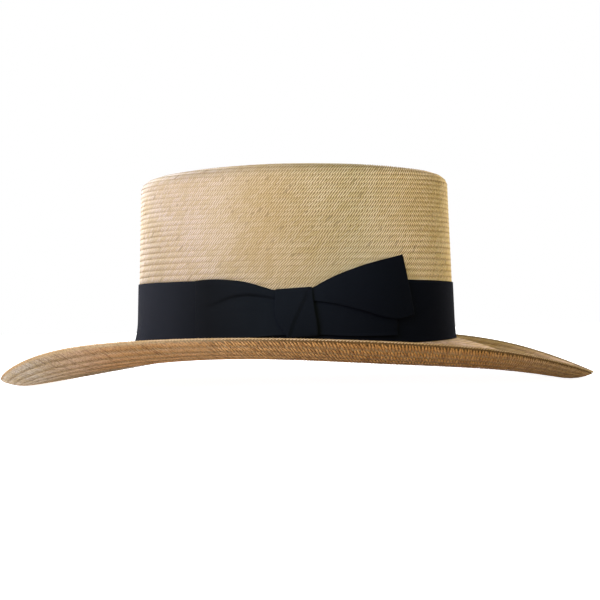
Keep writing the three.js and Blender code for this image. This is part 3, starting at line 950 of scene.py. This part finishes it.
# Painted light and shade: the ribbon is lighter in front and darker towards the back.
RIBBON_LIGHT_AND_SHADE = [(-0.0912, (1.08, 1.1, 1.06)), (-0.03504, (0.34, 0.35, 0.3)), (0.0, (0.42, 0.49, 0.47)),
               (0.04992, (0.25, 0.29, 0.34)), (0.09504, (0.06, 0.085, 0.16))]
RIBBON_REACH = 0.12
RIB_SHARE = 0.6
LINT_SCALE = 1500.0
LINT_RELIEF = 0.3
WORN_SCALE = 35.0
WORN_STEP = (0.4, 0.7)
WORN_DEPTH = 0.5
ribbon_material, wires, place, ribbon_shader = new_material("black_ribbon")
ribbon_along = wires.node("ShaderNodeUVMap", {"uv_map": "ribbon"}, {}).axis("X")
ribs = (ribbon_along * (2 * math.pi / RIB_PITCH)).sine() * 0.5 + 0.5
lint = place.noise(LINT_SCALE)
black = (ribs * RIB_SHARE + lint * (1 - RIB_SHARE)).pick(*RIBBON_TONES)
black = black.blend(RIBBON_WORN, place.noise(WORN_SCALE).between(*WORN_STEP) * WORN_DEPTH, "MULTIPLY")
# Painted light and shade along the hat.
black = black.blend(along_hat(place, RIBBON_LIGHT_AND_SHADE, RIBBON_REACH), 1.0, "MULTIPLY")
relief = {"Strength": 0.5, "Distance": 0.0001, "Height": ribs + lint * LINT_RELIEF}
wires.fill(ribbon_shader, {"Base Color": black, "Normal": wires.node("ShaderNodeBump", {}, relief),
                           "Roughness": 0.7, "Specular IOR Level": 0.015,
                           "Sheen Weight": 0.006, "Sheen Roughness": 0.4})
print("ribbon material:", ribbon_material.name)

# %% [markdown]
# ## Ribbon as thin cloth
# The ribbon is folded and lies flat against the crown. A cloth simulation could drape it, but would
# not stop at these very folds. So each piece is a grid of places about its middle layer: how far
# along the crown, how high, and how far off the straw. The grid gets the thickness of real ribbon.

# %% Places on the crown
BOW_BACKWARD = 15.0
half_turn = np.linspace(-np.pi / 2, np.pi / 2, 4001)
half_run = run_along(np.stack([HALF_WIDTH * np.cos(half_turn), HALF_LENGTH * np.sin(half_turn)], -1))
side_run = np.interp(0, half_turn, half_run)


def on_crown(along, height, off):
    """Points at a way along the crown from the bow's middle, a height and a distance off the straw."""
    angle = np.interp(side_run + BOW_BACKWARD + along, half_run, half_turn)
    return on_oval(angle, wall_out(height) + off, height)


print("half of the way round the crown:", round(half_run[-1], 1), "mm")

# %% Ribbon pieces from grids
RIBBON = 0.4


def grid_normals(points):
    return unit(np.cross(np.gradient(points, axis=0), np.gradient(points, axis=1)))


def ribbon_map(piece, middle):
    """The ribbon's own map in millimetres, for both of its faces."""
    along = np.cumsum(np.linalg.norm(np.diff(middle, axis=1), axis=-1).mean(axis=0))
    across = np.cumsum(np.linalg.norm(np.diff(middle, axis=0), axis=-1).mean(axis=1))
    spots = np.meshgrid(np.concatenate([[0], along]), np.concatenate([[0], across]))
    one_face = np.stack(spots, -1).reshape(-1, 2)
    both_faces = np.concatenate([one_face, one_face])
    vertex = np.zeros(len(piece.data.loops), dtype=np.int32)
    piece.data.loops.foreach_get("vertex_index", vertex)
    piece.data.uv_layers.new(name="ribbon").data.foreach_set("uv", both_faces[vertex].ravel())


def ribbon_piece(name, middle, node, closed=False):
    """A closed thin body about a grid of middle points, with its own ribbon map."""
    rows, columns = middle.shape[:2]
    front = np.arange(rows * columns).reshape(rows, columns)
    back = front + rows * columns
    if closed:
        padded = np.concatenate([middle[:, -2:], middle, middle[:, :2]], axis=1)
        normal = grid_normals(padded)[:, 2:-2]
        front, back = closed_rows(front), closed_rows(back)
    else:
        normal = grid_normals(middle)
    faces = [grid_quads(front),
             quads(back[:-1, :-1], back[:-1, 1:], back[1:, 1:], back[1:, :-1]),
             quads(front[0, :-1], front[0, 1:], back[0, 1:], back[0, :-1]),
             quads(front[-1, 1:], front[-1, :-1], back[-1, :-1], back[-1, 1:])]
    if not closed:
        faces += [quads(front[1:, 0], front[:-1, 0], back[:-1, 0], back[1:, 0]),
                  quads(front[:-1, -1], front[1:, -1], back[1:, -1], back[:-1, -1])]
    points = [middle + normal * RIBBON / 2, middle - normal * RIBBON / 2]
    piece = add_piece(name, points, np.concatenate(faces), [ribbon_material], [node])
    ribbon_map(piece, middle)
    return piece


print("ribbon", RIBBON, "mm thick")

# %% [markdown]
# ## Curves from tables
# The folds of the bow are given as short tables, one row for each place along the ribbon. Straight
# lines between the rows would show as facets, so a smooth curve goes through every row.


# %% A table's column as a curve
def column_curve(rows):
    """A smooth curve through one column of a table, read at a share of the way down its rows."""
    rows = np.asarray(rows, dtype=float)
    last = len(rows) - 1

    def read(share):
        place = np.clip(np.asarray(share) * last, 0, last)
        first = np.minimum(place.astype(int), last - 1)
        t = place - first
        before = rows[np.maximum(first - 1, 0)]
        start, end = rows[first], rows[first + 1]
        after = rows[np.minimum(first + 2, last)]
        slope, next_slope = (end - before) / 2, (after - start) / 2
        cubic = 2 * start - 2 * end + slope + next_slope
        square = -3 * start + 3 * end - 2 * slope - next_slope
        return cubic * t**3 + square * t**2 + slope * t + start

    return read


def grid_shares(steps, across_steps):
    """Shares of the way along a ribbon, as a row, and across it, as a column."""
    return np.linspace(0, 1, steps + 1)[None, :], np.linspace(0, 1, across_steps + 1)[:, None]


print("half way between 0, 1 and 4:", float(column_curve((0, 1, 4))(0.5)))

# %% [markdown]
# ## Band
# The band goes once round the crown and flares at its foot, more so in front. It stands a little
# higher in front, and the knot gathers it, so its upper edge dips behind the bow. A strip cut from
# the crown's wall would keep one height all round, so the band's upper edge has a rule of its own.

# %% Ribbon band
BAND_TOP = 34.5
BAND_RISE_IN_FRONT = 1.5
BAND_GATHER = 8.2
BAND_GATHER_REACH = 52.0
BAND_FOOT_UP = 0.4
BAND_FOOT_STEPS = 5
BAND_FOOT_FLARE = 0.2
BAND_FLARE = 0.9
BAND_FLARE_FORWARD = 0.55
BAND_FLARE_HEIGHT = 12.0
BAND_OFF = 0.75
BAND_SEGMENTS = 360
BAND_STEPS = 20

band_angle = np.linspace(0, 2 * np.pi, BAND_SEGMENTS, endpoint=False)
band_along = HALF_LENGTH * np.arctan2(np.sin(band_angle), np.cos(band_angle)) - BOW_BACKWARD
band_near = np.maximum(0, 1 - np.abs(band_along) / BAND_GATHER_REACH)
band_gather = BAND_GATHER * np.sin(np.pi / 2 * band_near) ** 2
band_top = BAND_TOP - BAND_RISE_IN_FRONT * np.sin(band_angle) - band_gather
band_flare = BAND_FLARE - BAND_FLARE_FORWARD * np.sin(band_angle)
band_rows = []
for up in np.linspace(BAND_FOOT_UP, FOOT_FILLET, BAND_FOOT_STEPS + 1)[:-1]:
    out = BAND_OFF + band_flare + (FOOT_FILLET - up) * BAND_FOOT_FLARE
    brim_up = brim_height(band_angle, out / brim_reach(band_angle))
    band_rows.append(on_oval(band_angle, out, brim_up + up))
foot_top = brim_height(band_angle, 0) + FOOT_FILLET
for share in np.linspace(0, 1, BAND_STEPS):
    height = foot_top + (band_top - foot_top) * share
    flare = band_flare * np.maximum(0, 1 - (height - foot_top) / BAND_FLARE_HEIGHT) ** 2
    band_rows.append(on_oval(band_angle, BAND_OFF + flare - CROWN_TAPER * height, height))
ribbon_band = ribbon_piece("ribbon_band_cloth", np.array(band_rows), "ribbon_band", closed=True)

# %% [markdown]
# ## Loops of the bow
# A loop goes out along the band, folds over, and comes back to the knot. Its front layer is pressed
# into a crease that runs from the knot and fades towards the fold. Both loops come from one table,
# and the rear one is pressed flatter, because the tail lies on it.

# %% Bow loops
LOOP_ALONG = (2, 24, 50, 57.6, 59.2, 57.6, 48, 37, 27, 17, 10, 3)
LOOP_LIFT = (2.1, 2.1, 2.1, 2.2, 3.15, 4.15, 4.5, 5.0, 5.3, 5.0, 4.8, 4.7)
LOOP_BOTTOM = (2.8, 1.8, 1.2, 1.1, 1.1, 1.1, 1.1, 1.2, 1.6, 2.3, 2.7, 2.8)
LOOP_CREASE = (19, 20, 20, 19, 19, 19, 19.9, 23.7, 25.0, 23.9, 22.4, 21.6)
LOOP_TOP = (27.4, 30.0, 34.4, 34.8, 35.0, 35.2, 35.5, 34.8, 33.3, 30.2, 27.9, 27.4)
LOOP_PLEAT = (0, 0, 0, 0, 0, 0.1, 0.5, 1.3, 1.8, 1.6, 1.0, 0)
PLEAT_ABOVE = 1.2
PLEAT_BELOW = 3.4
LOOP_STEPS = 120
LOOP_ACROSS = 56
REAR_FULLNESS = 0.5


def bow_loop(name, node, direction, fullness):
    share, across = grid_shares(LOOP_STEPS, LOOP_ACROSS)
    bottom, top = column_curve(LOOP_BOTTOM)(share), column_curve(LOOP_TOP)(share)
    fold = column_curve(LOOP_CREASE)(share)
    height = bottom + (top - bottom) * across
    width = np.where(height > fold, PLEAT_ABOVE, PLEAT_BELOW)
    groove = column_curve(LOOP_PLEAT)(share) * np.exp(-(((height - fold) / width) ** 2))
    flat = LOOP_LIFT[0]
    off = flat + fullness * (column_curve(LOOP_LIFT)(share) - groove - flat)
    along = direction * column_curve(LOOP_ALONG)(share) + 0 * height
    return ribbon_piece(name, on_crown(along, height, off), node)


bow_front_loop = bow_loop("bow_front_loop_cloth", "bow_front_loop", -1, 1.0)
bow_rear_loop = bow_loop("bow_rear_loop_cloth", "bow_rear_loop", 1, REAR_FULLNESS)

# %% [markdown]
# ## Tail of the bow
# The ribbon's end leaves the knot upwards and to the back, widens to its full width, and is cut
# square. A flat strip would lie on the crown like paper, so the tail has two edges that are tabled
# one by one, and it bulges a little between them.

# %% Bow tail
TAIL_LOW_ALONG = (5, 10.5, 17, 25, 32, 41, 50, 60, 71.2)
TAIL_LOW = (22.0, 21.8, 20.9, 19.2, 17.3, 14.6, 11.8, 10.5, 12.7)
TAIL_HIGH_ALONG = (5, 10.4, 15.5, 21.7, 28, 37, 46, 55, 64)
TAIL_HIGH = (26.6, 29.4, 32.3, 35.4, 38.0, 41.2, 43.8, 45.9, 48.0)
TAIL_LIFT = (4.6, 4.7, 5.2, 5.5, 5.6, 5.5, 5.2, 4.6, 3.5)
TAIL_BULGE = (0, 0, 0.5, 0.9, 1.0, 1.0, 0.9, 0.7, 0.4)
TAIL_STEPS = 80
TAIL_ACROSS = 44

tail_share, tail_across = grid_shares(TAIL_STEPS, TAIL_ACROSS)


def between_edges(low, high):
    return column_curve(low)(tail_share) * (1 - tail_across) + column_curve(high)(tail_share) * tail_across


tail_along = between_edges(TAIL_LOW_ALONG, TAIL_HIGH_ALONG)
tail_height = between_edges(TAIL_LOW, TAIL_HIGH)
tail_bulge = column_curve(TAIL_BULGE)(tail_share) * np.sin(np.pi * tail_across)
tail_off = column_curve(TAIL_LIFT)(tail_share) + tail_bulge
bow_tail = ribbon_piece("bow_tail_cloth", on_crown(tail_along, tail_height, tail_off), "bow_tail")

# %% [markdown]
# ## Knot of the bow
# A short ribbon is wrapped over the middle. It is pleated once: the front fold ends in a slanting
# ridge, and the fold behind it shows to the right. Two pieces could lie on each other for that, but
# it is one ribbon, so one grid steps down at the ridge.

# %% Bow knot
KNOT_HEIGHT = (29.1, 29.0, 28.3, 24.6, 20.2, 15.4, 10.6, 6.0, 2.2, 1.4, 1.3)
KNOT_LEFT = (-9.6, -10.0, -10.2, -10.4, -10.5, -10.4, -9.1, -6.5, -4.2, -4.0, -3.9)
KNOT_RIDGE = (8.2, 8.2, 8.0, 6.4, 4.3, 2.0, -0.3, -2.0, -3.2, -3.3, -3.3)
KNOT_RIGHT = (8.6, 8.7, 8.8, 9.0, 9.5, 10.2, 11.0, 11.6, 11.9, 11.8, 11.6)
KNOT_LIFT = (2.7, 4.6, 6.2, 6.6, 6.8, 6.8, 6.7, 6.5, 6.0, 4.6, 3.2)
KNOT_TILT = 0.05
KNOT_EDGE_DROP = 0.3
KNOT_RIDGE_RISE = 0.4
KNOT_BACK_FOLD_DROP = 0.7
KNOT_STEP_HALF = 0.7
KNOT_STEPS = 80
KNOT_FRONT_STEPS = 20
KNOT_BACK_STEPS = 14

knot_share, front = grid_shares(KNOT_STEPS, KNOT_FRONT_STEPS - 1)
behind = np.linspace(0, 1, KNOT_BACK_STEPS)[:, None]
knot_left, knot_ridge = column_curve(KNOT_LEFT)(knot_share), column_curve(KNOT_RIDGE)(knot_share)
knot_right, knot_lift = column_curve(KNOT_RIGHT)(knot_share), column_curve(KNOT_LIFT)(knot_share)
front_along = knot_left + (knot_ridge - KNOT_STEP_HALF - knot_left) * front
front_swell = (KNOT_EDGE_DROP + KNOT_RIDGE_RISE) * np.sin(np.pi / 2 * front)
front_rise = -KNOT_EDGE_DROP + front_swell + 0 * knot_left
back_start = knot_ridge + KNOT_STEP_HALF
back_end = np.maximum(knot_right + KNOT_STEP_HALF, back_start + KNOT_STEP_HALF)
back_along = back_start + (back_end - back_start) * behind
back_rise = -KNOT_BACK_FOLD_DROP + 0 * back_along
knot_along = np.concatenate([front_along, back_along])
knot_off = knot_lift + np.concatenate([front_rise, back_rise])
knot_height = column_curve(KNOT_HEIGHT)(knot_share) + KNOT_TILT * knot_along
bow_knot = ribbon_piece("bow_knot_cloth", on_crown(knot_along, knot_height, knot_off), "bow_knot")

# %% [markdown]
